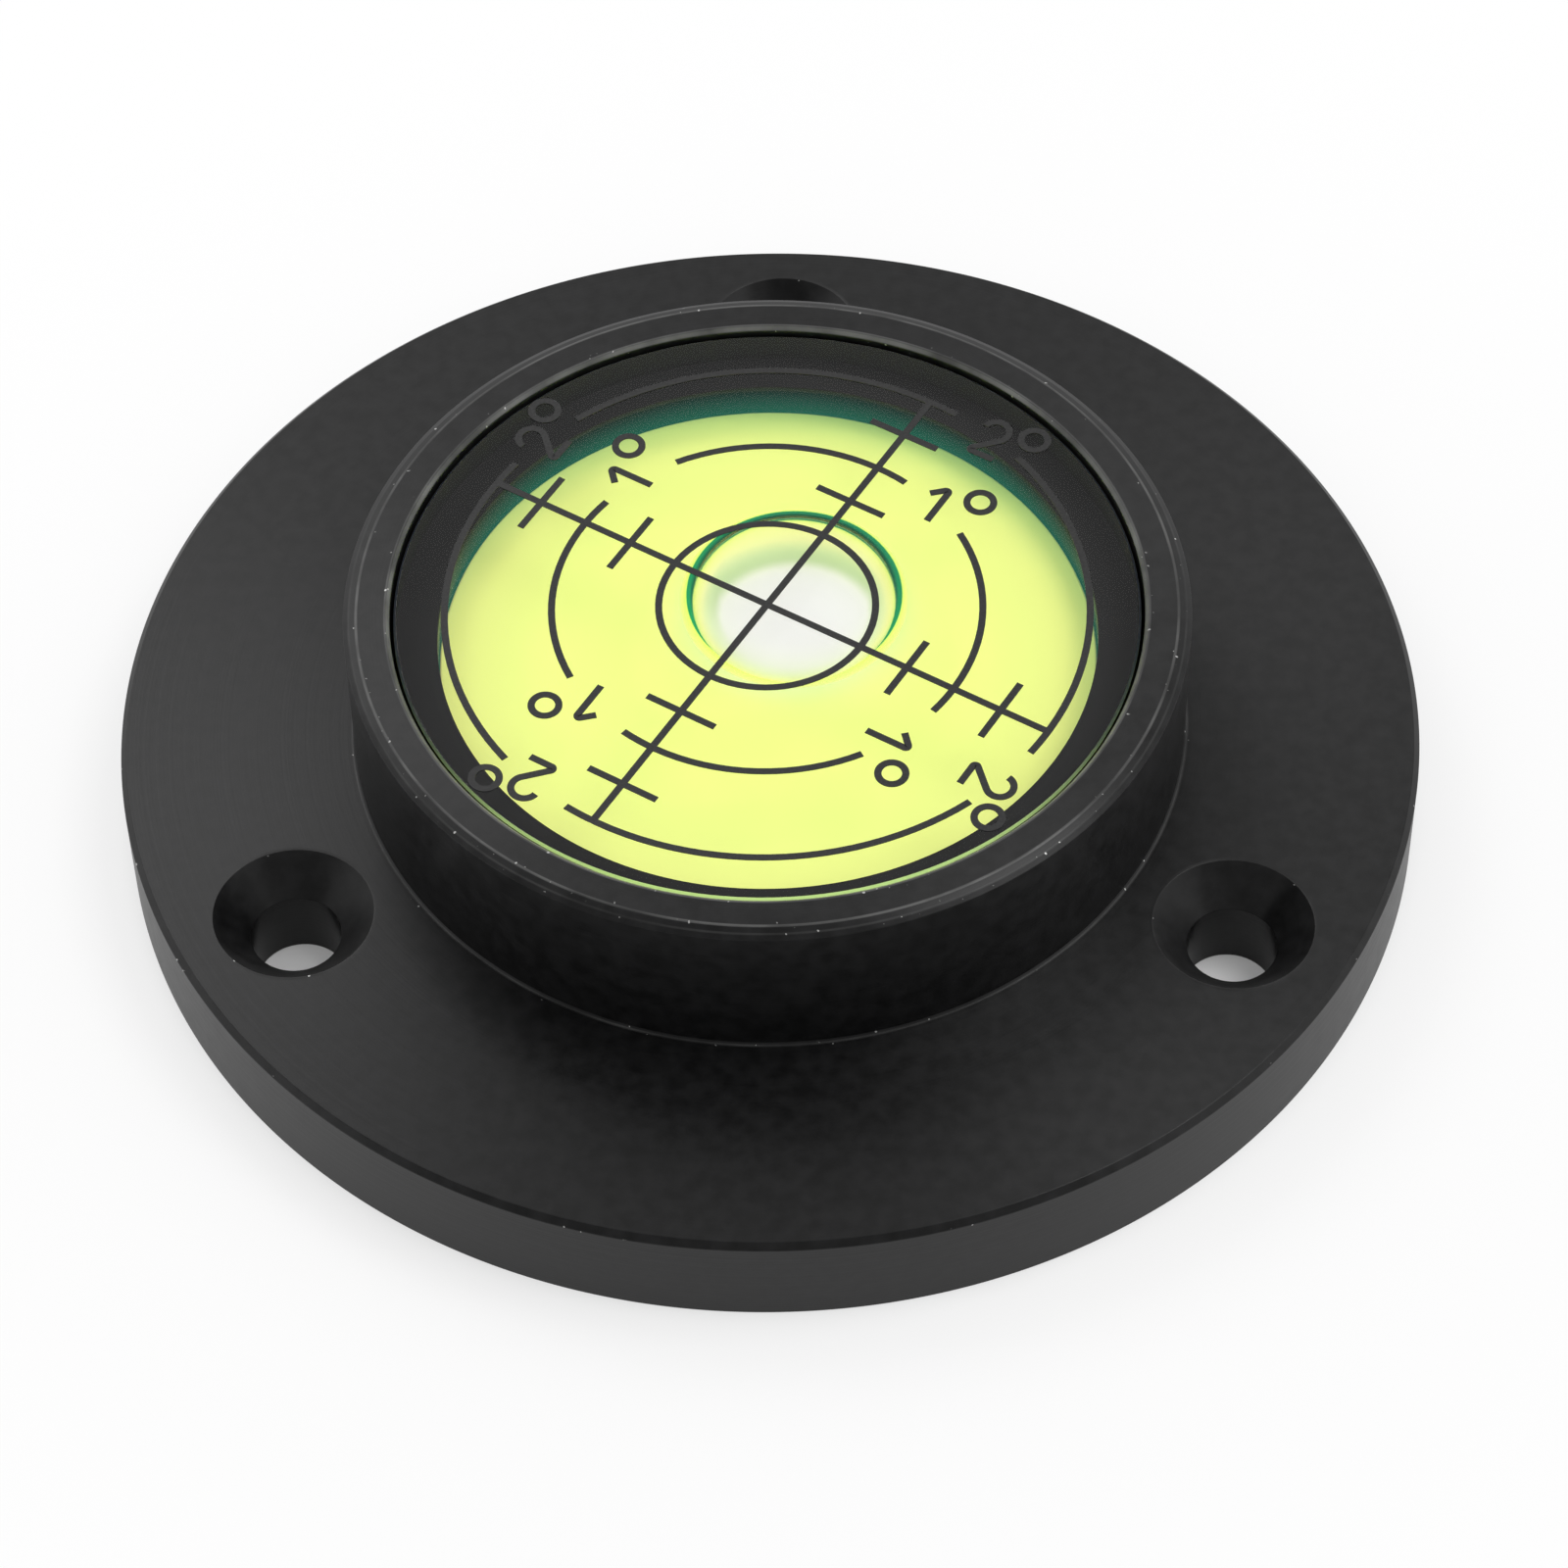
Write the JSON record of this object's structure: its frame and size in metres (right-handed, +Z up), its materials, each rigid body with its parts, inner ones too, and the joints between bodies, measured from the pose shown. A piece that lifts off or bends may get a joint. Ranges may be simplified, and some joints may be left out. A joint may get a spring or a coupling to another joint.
{
  "type": "bullseye level",
  "caption": "Round spirit level in a black flanged metal housing with countersunk fixing holes, a clear lens with tilt rings and crosshair, and a bubble in yellow-green liquid.",
  "frame": {"origin": "centre of the flat underside of the flange", "axes": "+Z up through the lens, normal to the underside; +Y from the centre towards one fixing hole"},
  "size_m": [0.066, 0.066, 0.014],
  "materials": {
    "anodised_metal": "black anodised, finely turned, satin",
    "clear_lens": "clear acrylic, polished",
    "black_ink": "screen-printed black ink",
    "level_liquid": "clear fluorescent yellow-green liquid",
    "white_plastic": "matt white",
    "black_seal": "matt black rubber"
  },
  "bodies": {
    "root": {"housing": "anodised_metal", "lens": "clear_lens", "graduations": "black_ink", "liquid": "level_liquid", "white_disc": "white_plastic", "seal_ring": "black_seal"}
  },
  "joints": []
}
